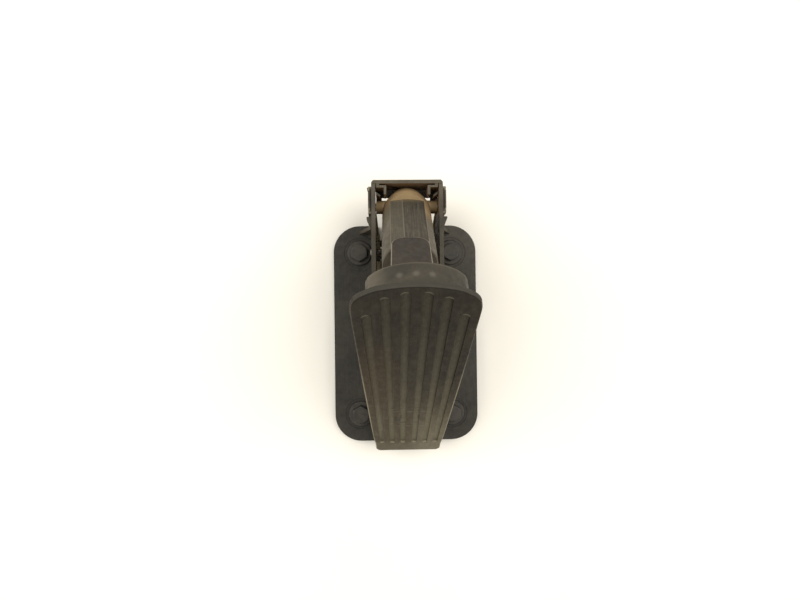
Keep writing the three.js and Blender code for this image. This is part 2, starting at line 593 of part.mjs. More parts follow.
function ballSocket() {
  const low = -BALL_DEPTH - 2.4;
  let socket = shifted(turned([[0, low], [8.4, low], [9.8, low + 1.4], [9.8, -9.7], [0, -9.7]], 24),
    0, BALL_SEAT_S, 0);
  socket = cut(socket, shifted(ball(BALL_R + 0.5, 24), 0, BALL_SEAT_S, -BALL_DEPTH));
  const mouth = turned([[0, -BALL_DEPTH - 6], [8.2, -BALL_DEPTH - 6], [5.2, -BALL_DEPTH], [0, -BALL_DEPTH]], 24);
  return placed(cut(socket, shifted(mouth, 0, BALL_SEAT_S, 0)), TREADLE);
}

function addTreadle() {
  add('treadle_pad', treadlePad(), MAT.pad);
  add('treadle_body', treadleBody(), MAT.body);
  add('ball_socket', ballSocket(), MAT.nylon);
  const screw = placed(panScrew(2.6, 1.6, 1.1, 4.4), new THREE.Matrix4().makeRotationX(Math.PI));
  const seat = -PAD_H - BODY_WALL - 0.04;
  PAD_SCREWS.forEach(([x, s], i) => {
    add(`pad_screw_${i + 1}`, placed(shifted(screw, x, s, seat), TREADLE), MAT.steel);
  });
  const [y, z] = HEEL;
  const bush = cut(rodX(4.8, LUG_X[0] + 0.05, LUG_X[1] + 0.2, y, z), rodX(HEEL_PIN_R + 0.06, 10, 30, y, z));
  addPair('heel_bushing', bush, MAT.nylon);
}

add('base_plate', basePlate(), MAT.plate);
addBoltSets();
addHeelHinge();
addHousing();
addSensor();
addStrut();
addTreadle();

const part = new THREE.Group();
part.name = 'foot_pedal';
part.add(...parts);
export default part;
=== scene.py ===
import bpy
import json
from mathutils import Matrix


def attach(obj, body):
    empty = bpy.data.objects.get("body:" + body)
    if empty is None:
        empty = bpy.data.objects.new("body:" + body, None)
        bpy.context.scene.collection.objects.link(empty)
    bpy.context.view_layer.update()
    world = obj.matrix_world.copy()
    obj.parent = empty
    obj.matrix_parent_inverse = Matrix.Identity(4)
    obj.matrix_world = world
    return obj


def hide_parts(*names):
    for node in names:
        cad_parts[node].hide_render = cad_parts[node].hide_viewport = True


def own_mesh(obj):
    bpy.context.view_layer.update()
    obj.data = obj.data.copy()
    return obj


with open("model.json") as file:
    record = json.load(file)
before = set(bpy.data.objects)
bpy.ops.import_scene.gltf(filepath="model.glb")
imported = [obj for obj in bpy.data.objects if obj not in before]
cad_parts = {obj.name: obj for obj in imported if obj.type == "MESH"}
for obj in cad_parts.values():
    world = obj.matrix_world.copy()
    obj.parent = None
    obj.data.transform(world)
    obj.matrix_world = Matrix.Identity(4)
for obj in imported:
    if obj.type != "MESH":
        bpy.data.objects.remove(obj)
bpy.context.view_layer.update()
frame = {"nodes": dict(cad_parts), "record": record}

import json
import math
from collections import namedtuple

import bmesh
import bpy
from mathutils import Matrix, Vector

MM = 0.001
X, Y, Z = Vector((1, 0, 0)), Vector((0, 1, 0)), Vector((0, 0, 1))
NODES = frame["nodes"]
SLOT_OF = {entry["node"]: entry["material_slot"] for entry in frame["record"]["subparts"]}
BODY_OF = {
    node: body
    for body, members in frame["record"]["behaviour"]["bodies"].items()
    for node in members
}

# ---------------------------------------------------------------- camera and light
# The camera looks almost straight down, with +Y at the top of the picture.
CAMERA_PLACE = (-0.0183, 0.0230, 0.510)
CAMERA_AXES = ((0.99955, -0.01203, 0.02744), (0.01179, 0.99989, 0.00880),
               (-0.02754, -0.00847, 0.99958))
LENS, SENSOR = 27.18, 36
SKY_COLOUR, SKY_STRENGTH = (1.0, 0.985, 0.955, 1), 0.72

camera = bpy.data.objects.new("camera", bpy.data.cameras.new("camera"))
bpy.context.collection.objects.link(camera)
camera.data.lens = LENS
camera.data.sensor_width = SENSOR
camera.data.clip_start = 0.01
camera.matrix_world = Matrix.Translation(CAMERA_PLACE) @ Matrix(CAMERA_AXES).transposed().to_4x4()
bpy.context.scene.camera = camera
bpy.context.scene.view_settings.view_transform = "Standard"

world = bpy.data.worlds.new("studio")
bpy.context.scene.world = world
world.use_nodes = True
sky = world.node_tree.nodes["Background"]
sky.inputs["Color"].default_value = SKY_COLOUR
sky.inputs["Strength"].default_value = SKY_STRENGTH


def area_light(name, place, target, size, power, colour):
    data = bpy.data.lights.new(name, "AREA")
    data.shape = "DISK"
    data.size = size
    data.energy = power
    data.color = colour
    light = bpy.data.objects.new(name, data)
    bpy.context.collection.objects.link(light)
    light.location = place
    light.rotation_euler = (Vector(target) - Vector(place)).to_track_quat("-Z", "Y").to_euler()


area_light("key", (0.80, 0.25, 1.45), (0, 0.02, 0.08), 1.4, 15, (1.0, 0.975, 0.93))
area_light("fill", (-0.90, 0.30, 1.25), (0, 0, 0.08), 1.2, 11, (1.0, 0.985, 0.95))

# ---------------------------------------------------------------- local frames
Frame = namedtuple("Frame", "origin x y z")


def treadle_frame(y, z, degrees):
    """X, up the slope, out of the face."""
    c, s = math.cos(math.radians(degrees)), math.sin(math.radians(degrees))
    return Frame(Vector((0, y * MM, z * MM)), X, Vector((0, c, s)), Vector((0, -s, c)))


def strut_frame(y, z, degrees):
    """X, out of the track, along the strut."""
    c, s = math.cos(math.radians(degrees)), math.sin(math.radians(degrees))
    return Frame(Vector((0, y * MM, z * MM)), X, Vector((0, s, c)), Vector((0, -c, s)))


def matrix_of(local):
    """Takes millimetres in a local frame to metres in the part's frame."""
    axes = Matrix(local[1:]).transposed().to_4x4()
    return Matrix.Translation(local.origin) @ axes @ Matrix.Scale(MM, 4)


ROW = Frame(Vector((0, 0, 0)), X, Y, Z)
TREADLE = treadle_frame(-93.1, 25, 52.5)
STRUT = strut_frame(92.6, 52.6, 50)
ROW_M, TREADLE_M, STRUT_M = matrix_of(ROW), matrix_of(TREADLE), matrix_of(STRUT)
# Outlines given as (x, along the strut) are extruded into the strut through this one.
LAID_STRUT_M = STRUT_M @ Matrix(((1, 0, 0, 0), (0, 0, -1, 0), (0, 1, 0, 0), (0, 0, 0, 1)))

# ---------------------------------------------------------------- sizes in mm
PLATE_HALF, PLATE_CORNER, PLATE_TOP = (59, 89), 22, 8
BOLT_X, BOLT_Y = 37.7, 66.4
CORNERS = ((1, 1), (-1, 1), (-1, -1), (1, -1))
BOLT_HOLE_R = 4.3
BOSS_R, BOSS_TOP = 14.5, 8.45
WASHER_SEAT, WASHER_THICK, PLAY = 8.5, 1.6, 0.02
HEX_R, HEX_HIGH = 7.506, 5.5

# (up the slope, half width) along the treadle's sides
PAD_SIDE = ((2, 25.4), (12, 25.9), (25, 27.4), (65, 30.2), (99, 32.5), (129, 34.3), (156, 35.9),
            (180, 37.3), (187.5, 37.3), (193, 36), (196.5, 33.4), (199, 30.2))
BODY_SIDE = ((2, 21), (25, 22.4), (65, 24.7), (99, 26.6), (129, 28.4), (156, 29.6), (179, 30.4))
BODY_HEAD = ((29.4, 184.6), (27.2, 188.6), (22.4, 193), (16.4, 196.4), (8.6, 198.8))
PAD_LENGTH, BODY_LENGTH = 206.8, 199.4
HEAD_ARC = 0.0069  # how far the pad's head falls back per square of the distance from its middle
PAD_ROUND = 1.5
PAD_UNDERSIDE, BODY_BACK, BODY_FLOOR = -4, -24, -6.52
BODY_WALL, BODY_LEAN = 2.5, 1.4
PAD_SCREWS = ((-9.6, 60), (9.6, 60), (-10.8, 174), (10.8, 174))
# Each groove's middle at the heel, its middle at the head, and its top; one on either side.
GROOVES = ((4.3, 6.1, 201), (12.6, 17.4, 196.6), (20.7, 28.1, 180.6))
GROOVE_HEEL, GROOVE_HALF_LOW, GROOVE_HALF_HIGH, GROOVE_ARCH = 13.5, 1.9, 3.1, 2.2
HINGE = (-80, 19)  # Y and Z of the treadle's hinge axis

BARREL_R, BARREL_LENGTH, BARREL_BORE = 19.1, 68, 12.2
TRACK_START, TRACK_ARC, TRACK_DEPTH = 3.6, 2.6, 14.2
DOME_NARROWING = 0.13
PIVOT = (97.2, 52.6)  # Y and Z of the barrel's trunnions


# ---------------------------------------------------------------- node helper
def rgb(r, g, b):
    """The linear colour of an sRGB one given as 0 to 255."""
    out = []
    for v in (r, g, b):
        v /= 255
        out.append(v / 12.92 if v <= 0.04045 else ((v + 0.055) / 1.055) ** 2.4)
    return (*out, 1.0)


def scaled(colour, factor):
    return rgb(*[min(255, v * factor) for v in colour])


class Tree:
    """A material's node tree, built by calls that take numbers or sockets."""

    def __init__(self, name):
        self.material = bpy.data.materials.new(name)
        self.material.use_nodes = True
        self.nodes = self.material.node_tree.nodes
        self.links = self.material.node_tree.links
        self.shader = self.nodes["Principled BSDF"]
        coords = self.nodes.new("ShaderNodeTexCoord")
        self.place = coords.outputs["Object"]
        self.normal = coords.outputs["Normal"]

    def put(self, socket, value):
        if isinstance(value, bpy.types.NodeSocket):
            self.links.new(value, socket)
        else:
            socket.default_value = value

    def math(self, kind, a, b=0.0):
        node = self.nodes.new("ShaderNodeMath")
        node.operation = kind
        self.put(node.inputs[0], a)
        self.put(node.inputs[1], b)
        return node.outputs[0]

    def absolute(self, value):
        return self.math("ABSOLUTE", value)

    def dot(self, vector, axis, less=0.0):
        node = self.nodes.new("ShaderNodeVectorMath")
        node.operation = "DOT_PRODUCT"
        self.put(node.inputs[0], vector)
        node.inputs[1].default_value = axis
        return self.math("SUBTRACT", node.outputs["Value"], less)

    def along(self, axis, local=ROW):
        """How far along an axis the surface lies from a local frame's origin, in metres."""
        return self.dot(self.place, axis, local.origin.dot(axis))

    def facing(self, axis):
        """How squarely the surface faces along an axis."""
        return self.dot(self.normal, axis)

    def stretch(self, local, scale):
        """Coordinates in a local frame, each axis scaled."""
        node = self.nodes.new("ShaderNodeCombineXYZ")
        for socket, axis, factor in zip(node.inputs, local[1:], scale):
            self.put(socket, self.math("MULTIPLY", self.along(axis, local), factor))
        return node.outputs[0]

    def noise(self, vector, scale, detail=3.0, rough=0.55, distort=0.0):
        node = self.nodes.new("ShaderNodeTexNoise")
        self.put(node.inputs["Vector"], vector)
        node.inputs["Scale"].default_value = scale
        node.inputs["Detail"].default_value = detail
        node.inputs["Roughness"].default_value = rough
        node.inputs["Distortion"].default_value = distort
        return node.outputs["Fac"]

    def cells(self, vector, scale):
        node = self.nodes.new("ShaderNodeTexVoronoi")
        self.put(node.inputs["Vector"], vector)
        node.inputs["Scale"].default_value = scale
        return node.outputs["Distance"]

    def step(self, value, low, high, to_low=0.0, to_high=1.0):
        """A smooth step of value from low to high."""
        node = self.nodes.new("ShaderNodeMapRange")
        node.interpolation_type = "SMOOTHSTEP"
        self.put(node.inputs["Value"], value)
        node.inputs["From Min"].default_value = low
        node.inputs["From Max"].default_value = high
        node.inputs["To Min"].default_value = to_low
        node.inputs["To Max"].default_value = to_high
        return node.outputs["Result"]

    def band(self, value, low, high, soft):
        """One between low and high, falling softly to nothing outside them."""
        rise = self.step(value, low - soft, low + soft)
        return self.math("MULTIPLY", rise, self.step(value, high + soft, high - soft))

    def both(self, *shares):
        """The product of several masks."""
        out = shares[0]
        for share in shares[1:]:
            out = self.math("MULTIPLY", out, share)
        return out

    def mix(self, share, a, b):
        node = self.nodes.new("ShaderNodeMix")
        node.data_type = "RGBA"
        self.put(node.inputs["Factor"], share)
        self.put(node.inputs[6], a)
        self.put(node.inputs[7], b)
        return node.outputs[2]

    def cover(self, under, over, *shares):
        """One colour laid over another, as far as the product of the masks."""
        return self.mix(self.both(*shares), under, over)

    def distance(self, a, b):
        """The length of a vector with the two parts a and b."""
        squares = self.math("ADD", self.math("MULTIPLY", a, a), self.math("MULTIPLY", b, b))
        return self.math("SQRT", squares)

    def bump(self, height, strength, distance, below=None):
        node = self.nodes.new("ShaderNodeBump")
        node.inputs["Strength"].default_value = strength
        node.inputs["Distance"].default_value = distance
        self.put(node.inputs["Height"], height)
        if below is not None:
            self.put(node.inputs["Normal"], below)
        return node.outputs["Normal"]

    def done(self, colour, roughness, normal, metallic=0.0, specular=0.35):
        self.put(self.shader.inputs["Base Color"], colour)
        self.put(self.shader.inputs["Roughness"], roughness)
        self.shader.inputs["Metallic"].default_value = metallic
        self.shader.inputs["Specular IOR Level"].default_value = specular
        self.put(self.shader.inputs["Normal"], normal)
        return self.material


# ---------------------------------------------------------------- materials
def streak_scale(along, across_scale, along_scale):
    """Texture scales that draw lines out along one of the three axes."""
    return [along_scale if k == along else across_scale for k in range(3)]


def aged_plastic(name, dark, light, local=ROW, along=1, streak=0.1, dust=0.15,
                 dust_colour=(96, 89, 75), grain=0.5, rough=0.62, tint=None, specular=0.3):
    """Matte moulded plastic: cloudy tone, fine streaks along one local axis, a pebbled skin and
    settled dust."""
    t = Tree(name)
    cloud = t.noise(t.place, 38, 4, 0.6, 0.4)
    blotch = t.noise(t.place, 120, 3, 0.6)
    colour = t.mix(t.step(cloud, 0.32, 0.68), rgb(*dark), rgb(*light))
    colour = t.mix(t.step(blotch, 0.45, 0.7, 0, 0.35), colour, rgb(*dark))
    lines = t.noise(t.stretch(local, streak_scale(along, 2600, 60)), 1.0, 3, 0.7)
    colour = t.mix(t.step(lines, 0.5, 0.78, 0, streak), colour, scaled(light, 1.45))
    colour = t.mix(t.step(lines, 0.42, 0.22, 0, streak), colour, scaled(dark, 0.6))
    if tint:
        colour = tint(t, colour)
    upward = t.step(t.facing(Z), 0.1, 0.95)
    specks = t.step(t.noise(t.place, 900, 2, 0.7), 0.3, 0.75, 0.25, 1.0)
    patches = t.step(t.noise(t.place, 60, 5, 0.65), 0.35, 0.75)
    colour = t.cover(colour, rgb(*dust_colour), upward, patches, specks, dust)
    skin = t.bump(t.cells(t.place, 1500), 0.18 * grain, 0.0003)
    skin = t.bump(lines, 0.25 * grain, 0.0003, skin)
    skin = t.bump(blotch, 0.15 * grain, 0.0006, skin)
    shine = t.step(t.noise(t.place, 260, 4, 0.6), 0.3, 0.7, rough - 0.09, rough + 0.12)
    return t.done(colour, shine, skin, 0.0, specular)


def metal(name, dark, light, rough, stain, metallic=1.0, along=0, shaded=0.0):
    """Plated or drawn steel with fine drawing lines, dulled patches and small stains; with shaded
    given, faces that do not face up are darkened by painted shade.
    """
    t = Tree(name)
    lines = t.noise(t.stretch(ROW, streak_scale(along, 3200, 90)), 1.0, 3, 0.7)
    cloud = t.noise(t.place, 140, 4, 0.6, 0.5)
    colour = t.mix(t.step(cloud, 0.3, 0.7), rgb(*dark), rgb(*light))
    colour = t.mix(t.step(lines, 0.45, 0.75, 0, 0.35), colour, scaled(light, 1.2))
    spots = t.noise(t.place, 420, 3, 0.7)
    colour = t.mix(t.step(spots, 0.62, 0.75, 0, stain), colour, rgb(92, 74, 52))
    if shaded:
        # Painted shade: faces turned away from above are darkened, as the bolt heads' flanks are
        # shaded.
        painted_side_shade = t.step(t.facing(Z), 0.97, 0.6, 0, shaded)
        colour = t.mix(painted_side_shade, colour, rgb(20, 18, 15))
    shine = t.step(cloud, 0.3, 0.7, rough - 0.08, rough + 0.14)
    skin = t.bump(spots, 0.1, 0.0003, t.bump(lines, 0.2, 0.0002))
    return t.done(colour, shine, skin, metallic, 0.5)


def track_scuffs_and_shade(t, across, along):
    """The track's colour: dark with lengthwise scuffs, split by a fine pale line, with painted
    light on its left strip and a painted shadow along its right edge.
    """
    fine = t.noise(t.stretch(STRUT, (1900, 1900, 26)), 1.0, 4, 0.75)
    wide = t.noise(t.stretch(STRUT, (420, 420, 14)), 1.0, 3, 0.6)
    bare = t.noise(t.stretch(STRUT, (800, 800, 40)), 1.0, 3, 0.65)
    worn = t.mix(t.step(fine, 0.35, 0.72), rgb(42, 38, 32), rgb(84, 78, 66))
    worn = t.mix(t.step(wide, 0.42, 0.62, 0, 0.6), worn, rgb(58, 53, 45))
    worn = t.mix(t.step(bare, 0.58, 0.72, 0, 0.6), worn, rgb(112, 105, 90))
    # Painted light: the left strip is lighter, as a facet turned toward the light.
    left = t.step(across, -0.0028, -0.0044)
    worn = t.cover(worn, rgb(82, 77, 65), left, 0.5)
    seam = t.band(across, -0.0039, -0.0031, 0.0003)
    worn = t.cover(worn, rgb(122, 115, 98), seam, 0.42)
    # Painted shadow along the right edge, where the track's wall drops to the barrel.
    right_edge_shadow = t.step(across, 0.0088, 0.0124, 0, 0.55)
    worn = t.mix(right_edge_shadow, worn, rgb(34, 29, 23))
    start = t.step(along, 0.009, 0.0038)
    return t.cover(worn, rgb(112, 98, 74), start, 0.45)


def warm_dome(t, colour):
    """The barrel's dome and trunnions are warm tan, with painted light where they face up and a
    painted highlight on the dome's top; its track is dark and scuffed, with a painted highlight on
    the rail's edges.
    """
    across, above, along = t.along(X), t.along(STRUT.y, STRUT), t.along(STRUT.z, STRUT)
    upward, facing = t.facing(Z), t.facing(STRUT.y)
    worn_off = t.step(t.noise(t.place, 55, 4, 0.6), 0.2, 0.65, 0.6, 1.0)
    right = t.step(across, 0.004, 0.014)
    reach = t.math("ADD", along, t.math("MULTIPLY", right, -0.016))
    # Painted light: the tan is lighter where the surface faces up.
    tan = t.mix(t.step(upward, 0.35, 0.85), rgb(136, 113, 82), rgb(172, 145, 104))
    colour = t.cover(colour, tan, t.step(reach, 0.020, 0.000), worn_off)
    # Painted highlight on the top of the dome.
    top = t.both(t.step(along, 0.004, -0.004), t.step(upward, 0.55, 0.95))
    colour = t.cover(colour, rgb(196, 172, 130), top, 0.55)
    track = t.both(t.step(facing, 0.9, 0.98), t.band(above, 0.0139, 0.0146, 0.0001))
    colour = t.mix(track, colour, track_scuffs_and_shade(t, across, along))
    # Painted highlight on the rail's rounded edges.
    rail_edge_highlight = t.both(t.band(facing, 0.62, 0.9, 0.08), t.step(above, 0.0136, 0.0139),
                  t.step(along, 0.004, 0.006))
    colour = t.cover(colour, rgb(140, 130, 108), rail_edge_highlight, 0.28)
    boss = t.step(t.absolute(across), 0.0150, 0.0195)
    return t.cover(colour, rgb(84, 66, 44), boss, t.step(along, 0.012, 0.008), 0.6)


PadMasks = namedtuple("PadMasks", "across up out facing front heel powder")


def pad_masks(t):
    up, facing = t.along(TREADLE.y, TREADLE), t.facing(TREADLE.z)
    return PadMasks(
        across=t.along(X),
        up=up,
        out=t.along(TREADLE.z, TREADLE),
        facing=facing,
        front=t.step(facing, 0.5, 0.9),
        heel=t.step(up, 0.135, 0.018),
        powder=t.noise(t.stretch(TREADLE, (900, 160, 900)), 1.0, 4, 0.7),
    )


def groove_dust(t, m):
    """The groove floors' colour: pale dust, more of it toward the heel."""
    dust = t.mix(m.heel, rgb(56, 51, 40), rgb(120, 113, 92))
    thick = t.mix(m.heel, rgb(76, 70, 57), rgb(130, 123, 102))
    dust = t.mix(t.step(m.powder, 0.3, 0.75, 0, 0.5), dust, thick)
    dust = t.mix(t.step(m.up, 0.18, 0.12, 0, 0.35), dust, rgb(98, 92, 75))
    bare = t.noise(t.stretch(TREADLE, (160, 50, 160)), 1.0, 3)
    return t.mix(t.step(bare, 0.48, 0.68, 0, 0.3), dust, rgb(60, 54, 42))


def rubbed_lands(t, m, colour):
    """The lands between the grooves are rubbed dark and cross-scratched toward the heel."""
    land = t.cover(colour, rgb(72, 64, 47), m.heel, 0.85)
    rub = t.noise(t.stretch(TREADLE, (220, 60, 200)), 1.0, 4, 0.65)
    rubbed = t.mix(m.heel, rgb(56, 49, 37), rgb(92, 84, 66))
    land = t.mix(t.step(rub, 0.45, 0.72, 0, 0.5), land, rubbed)
    cross = t.noise(t.stretch(TREADLE, (40, 1900, 900)), 1.0, 2, 0.6)
    scratches = t.step(cross, 0.64, 0.78, 0, 0.4)
    return t.cover(land, rgb(112, 103, 82), scratches, t.step(m.heel, 0.1, 0.6))


def heel_marks(t, m, face):
    """Two broken lines across the pad near the heel, two dark dots, and a dusty heel edge."""
    inside = t.step(t.absolute(m.across), 0.016, 0.011)
    broken = t.step(t.noise(t.place, 150, 3, 0.6), 0.36, 0.6)
    wavy = t.math("ADD", m.up, t.math("MULTIPLY", t.noise(t.place, 90, 2), 0.0018))
    for at, half in ((0.0674, 0.0005), (0.0454, 0.0006)):
        dark = t.both(t.band(wavy, at - half, at + half, 0.0004), inside, broken)
        face = t.cover(face, rgb(34, 28, 20), dark, 0.6)
        pale = t.both(t.band(wavy, at - 2.6 * half, at - 1.4 * half, 0.0004), inside, broken)
        face = t.cover(face, rgb(130, 122, 100), pale, 0.5)
    for middle in (-0.0085, 0.0085):
        dot = t.both(t.band(m.across, middle - 0.0028, middle + 0.0028, 0.0006),
                     t.band(wavy, 0.0515, 0.0575, 0.0016))
        face = t.cover(face, rgb(36, 30, 21), dot, 0.5)
    return t.cover(face, rgb(92, 85, 69), t.step(m.up, 0.0185, 0.0085), m.front, 0.6)


def groove_heads(t, m, face):
    """Each groove's arched head has a line of painted shade inside it and a painted highlight on
    the rounded land just beyond it.
    """
    for _, high_x, top in GROOVES:
        aside = t.math("SUBTRACT", t.absolute(m.across), high_x * MM)
        arched = t.math("MULTIPLY", t.math("MULTIPLY", aside, aside), 220)
        along, at = t.math("ADD", m.up, arched), top * MM
        within = t.band(aside, -0.0029, 0.0029, 0.0004)
        # Painted shade in the corner under the groove's head.
        shade = t.both(t.band(along, at - 0.0016, at - 0.0003, 0.0002), within, m.front)
        face = t.cover(face, rgb(22, 18, 12), shade, 0.75)
        # Painted highlight on the land's rounded edge beyond the head.
        crest_highlight = t.both(t.band(along, at + 0.0001, at + 0.0012, 0.0003), within,
                       t.step(m.out, -0.0012, -0.0004), m.front)
        face = t.cover(face, rgb(98, 91, 75), crest_highlight, 0.55)
    return face


def pad_rims(t, m, face):
    """The pad's long edges are pale from wear and a painted highlight, the heel ends of its
    grooves get painted light, and its head's edge a line of painted shade.
    """
    headward, sideward = t.facing(TREADLE.y), t.absolute(t.facing(X))
    # Pale long edges: wear, patchy and paler toward the heel, together with a painted highlight on
    # the bevels.
    side_lip = t.both(t.band(m.facing, 0.25, 0.93, 0.04), t.step(sideward, 0.3, 0.6),
                      t.step(m.out, -0.0012, -0.0006))
    lip_colour = t.mix(t.step(m.up, 0.150, 0.075), rgb(74, 68, 58), rgb(152, 143, 120))
    face = t.cover(face, lip_colour, side_lip, t.step(m.powder, 0.25, 0.6, 0.4, 0.85))
    # Painted shade: a dark line on the head's rounded edge, where the face drops into a crevice.
    head_edge_shade = t.both(t.band(m.facing, 0.78, 0.985, 0.01), t.step(headward, 0.05, 0.15),
                       t.step(m.up, 0.185, 0.195))
    face = t.cover(face, rgb(26, 22, 18), head_edge_shade, 0.7)
    # Painted light on the grooves' heel-end walls, which face up the slope.
    lit_groove_end = t.both(t.step(headward, 0.5, 0.8), t.step(m.up, 0.02, 0.016),
                        t.step(m.out, 0.0, -0.0004))
    face = t.mix(lit_groove_end, face, rgb(146, 139, 118))
    return t.cover(face, rgb(58, 55, 48), t.step(headward, 0.45, 0.7), t.step(m.up, 0.18, 0.19))


def worn_face(t, colour):
    """The pad: dusty groove floors, rubbed lands, marks near the heel, painted light toward the
    heel on the right, and edges pale from wear and painted light, with painted shade at the head.
    """
    m = pad_masks(t)
    floor_ = t.both(t.step(m.out, -0.0008, -0.0015), m.front)
    face = t.mix(floor_, rubbed_lands(t, m, colour), groove_dust(t, m))
    warm = t.both(t.step(m.across, -0.004, -0.022), t.band(m.up, 0.07, 0.14, 0.03))
    face = t.cover(face, rgb(78, 62, 40), warm, 0.3)
    face = groove_heads(t, m, heel_marks(t, m, face))
    # Painted light toward the heel on the right side, made patchy by the dust pattern.
    lit_dusty_heel_right = t.both(t.step(m.across, -0.002, 0.014), t.step(m.up, 0.085, 0.020),
                    t.step(m.powder, 0.2, 0.6, 0.4, 1.0))
    face = t.cover(face, rgb(136, 129, 108), lit_dusty_heel_right, 0.35)
    return pad_rims(t, m, face)


def collar(t, colour):
    """The treadle's shell has painted light on its left shoulder, three faint pale spots across
    the middle of its head, a painted highlight along its lower edge and painted shade under the
    pad."""
    across, up = t.along(X), t.along(TREADLE.y, TREADLE)
    out = t.along(TREADLE.z, TREADLE)
    head = t.step(t.facing(TREADLE.y), 0.2, 0.6)
    # Painted light: the left shoulder is lighter, as lit from the left.
    shoulder = t.step(across, -0.012, -0.027)
    colour = t.cover(colour, rgb(96, 89, 75), head, shoulder, 0.75)
    for x in (-0.0092, 0.0002, 0.0094):
        far = t.distance(t.math("SUBTRACT", across, x), t.math("SUBTRACT", out, -0.0155))
        spot = t.both(head, t.step(far, 0.0030, 0.0004), t.step(up, 0.15, 0.16))
        colour = t.cover(colour, rgb(126, 121, 110), spot, 0.26)
    # Painted highlight along the shell's lower edge.
    edge = t.step(out, -0.0225, -0.0238)
    colour = t.cover(colour, rgb(112, 105, 89), head, edge, 0.25)
    # Painted shade where the pad sits on the shell.
    seat = t.step(out, -0.0062, -0.0045)
    return t.cover(colour, rgb(38, 33, 27), head, seat, 0.5)


def edged_tongue(t, colour):
    """The tongue's rim carries a painted highlight."""
    # Painted highlight on the rim's bevels.
    rim = t.band(t.facing(STRUT.y), 0.3, 0.975, 0.01)
    return t.cover(colour, rgb(150, 141, 122), rim, 0.55)


def brown_inside(t, colour):
    """The housing is brown on the faces round the barrel and darker low down; the lips inside its
    cheeks are painted pale as if lit, and its top edges are pale from wear and a painted
    highlight."""
    across, back, high = t.absolute(t.along(X)), t.along(Y), t.along(Z)
    upward = t.facing(Z)
    inside = t.both(t.step(across, 0.0246, 0.0232), t.band(back, 0.089, 0.1128, 0.0006),
                    t.step(upward, 0.9, 0.4))
    colour = t.cover(colour, rgb(128, 100, 68), inside, 0.75)
    low = t.step(high, 0.064, 0.034)
    colour = t.cover(colour, rgb(58, 48, 36), low, 0.3)
    # Painted light: these lips lie in shade between the strut and the cheeks but are painted as if
    # lit.
    lit_keel = t.both(t.band(across, 0.0204, 0.0233, 0.0001), t.step(high, 0.046, 0.041),
                  t.step(back, 0.103, 0.099))
    colour = t.cover(colour, rgb(168, 154, 120), lit_keel, 0.85)
    # Pale top edges: patchy wear together with a painted highlight on the bevels.
    rubbed = t.both(t.band(upward, 0.25, 0.9, 0.06), t.step(high, 0.05, 0.06),
                    t.step(t.noise(t.place, 300, 3), 0.3, 0.6, 0.35, 0.85))
    return t.mix(rubbed, colour, rgb(142, 134, 113))


def ringed_plate(t, colour):
    """The plate has painted shade in a ring round its bolts, is finely streaked, and is paler
    toward its rear right.
    """
    across, back = t.along(X), t.along(Y)
    far = t.distance(t.math("SUBTRACT", t.absolute(across), BOLT_X * MM),
                     t.math("SUBTRACT", t.absolute(back), BOLT_Y * MM))
    # Painted shade round each bolt, where the washer's edge shades the plate.
    colour = t.cover(colour, rgb(24, 21, 18), t.step(far, 0.0122, 0.0100), 0.5)
    fine = t.noise(t.stretch(ROW, (3400, 70, 900)), 1.0, 3, 0.7)
    colour = t.mix(t.step(fine, 0.5, 0.75, 0, 0.3), colour, rgb(82, 77, 68))
    rear_right = t.both(t.step(across, 0.01, 0.03), t.step(back, 0.03, 0.07))
    return t.cover(colour, rgb(84, 79, 70), rear_right, 0.45)


PLASTICS = {
    "plate_plastic": dict(dark=(38, 35, 30), light=(53, 50, 43), streak=0.34, dust=0.14,
                          dust_colour=(108, 102, 90), grain=0.6, tint=ringed_plate),
    "housing_plastic": dict(dark=(54, 49, 40), light=(76, 70, 58), streak=0.36, dust=0.25,
                            dust_colour=(128, 119, 97), grain=0.6, tint=brown_inside),
    "barrel_plastic": dict(dark=(68, 62, 51), light=(92, 85, 71), local=STRUT, along=2,
                           streak=0.35, dust=0.2, dust_colour=(138, 125, 98), rough=0.6,
                           tint=warm_dome),
    "pad_plastic": dict(dark=(29, 25, 18), light=(40, 34, 24), local=TREADLE, streak=0.42,
                        dust=0.05, dust_colour=(96, 89, 72), grain=0.55, rough=0.66,
                        tint=worn_face, specular=0.2),
    "body_plastic": dict(dark=(48, 44, 37), light=(66, 61, 51), local=TREADLE, streak=0.12,
                         dust=0.2, dust_colour=(116, 107, 88), tint=collar),
    "tongue_plastic": dict(dark=(43, 37, 31), light=(57, 49, 42), local=STRUT, along=2,
                           streak=0.15, dust=0.1, grain=0.35, rough=0.55, tint=edged_tongue),
    "dark_plastic": dict(dark=(34, 32, 29), light=(50, 47, 43), local=STRUT, along=2,
                         streak=0.15, dust_colour=(96, 90, 78), grain=0.4, rough=0.5,
                         specular=0.35),
    "bearing_nylon": dict(dark=(176, 167, 144), light=(205, 197, 176), along=0, dust=0.1,
                          dust_colour=(150, 140, 115), grain=0.3, rough=0.42, specular=0.35),
    "circuit_board": dict(dark=(28, 66, 42), light=(40, 88, 58), dust=0.05,
                          dust_colour=(120, 118, 100), grain=0.3, rough=0.4, specular=0.35),
    "bumper_rubber": dict(dark=(22, 21, 20), light=(34, 32, 30), local=STRUT, along=2,
                          dust_colour=(88, 82, 72), grain=0.8, rough=0.8, specular=0.35),
}
METALS = {
    "blackened_steel": dict(dark=(38, 35, 31), light=(70, 65, 57), rough=0.55, stain=0.25,
                            metallic=0.3, shaded=0.85),
    "zinc_steel": dict(dark=(128, 126, 118), light=(168, 166, 158), rough=0.36, stain=0.2),
    "spring_steel": dict(dark=(120, 118, 114), light=(170, 168, 164), rough=0.3, stain=0.12,
                         along=2),
    "contact_brass": dict(dark=(160, 124, 60), light=(196, 158, 88), rough=0.3, stain=0.15,
                          along=1),
}
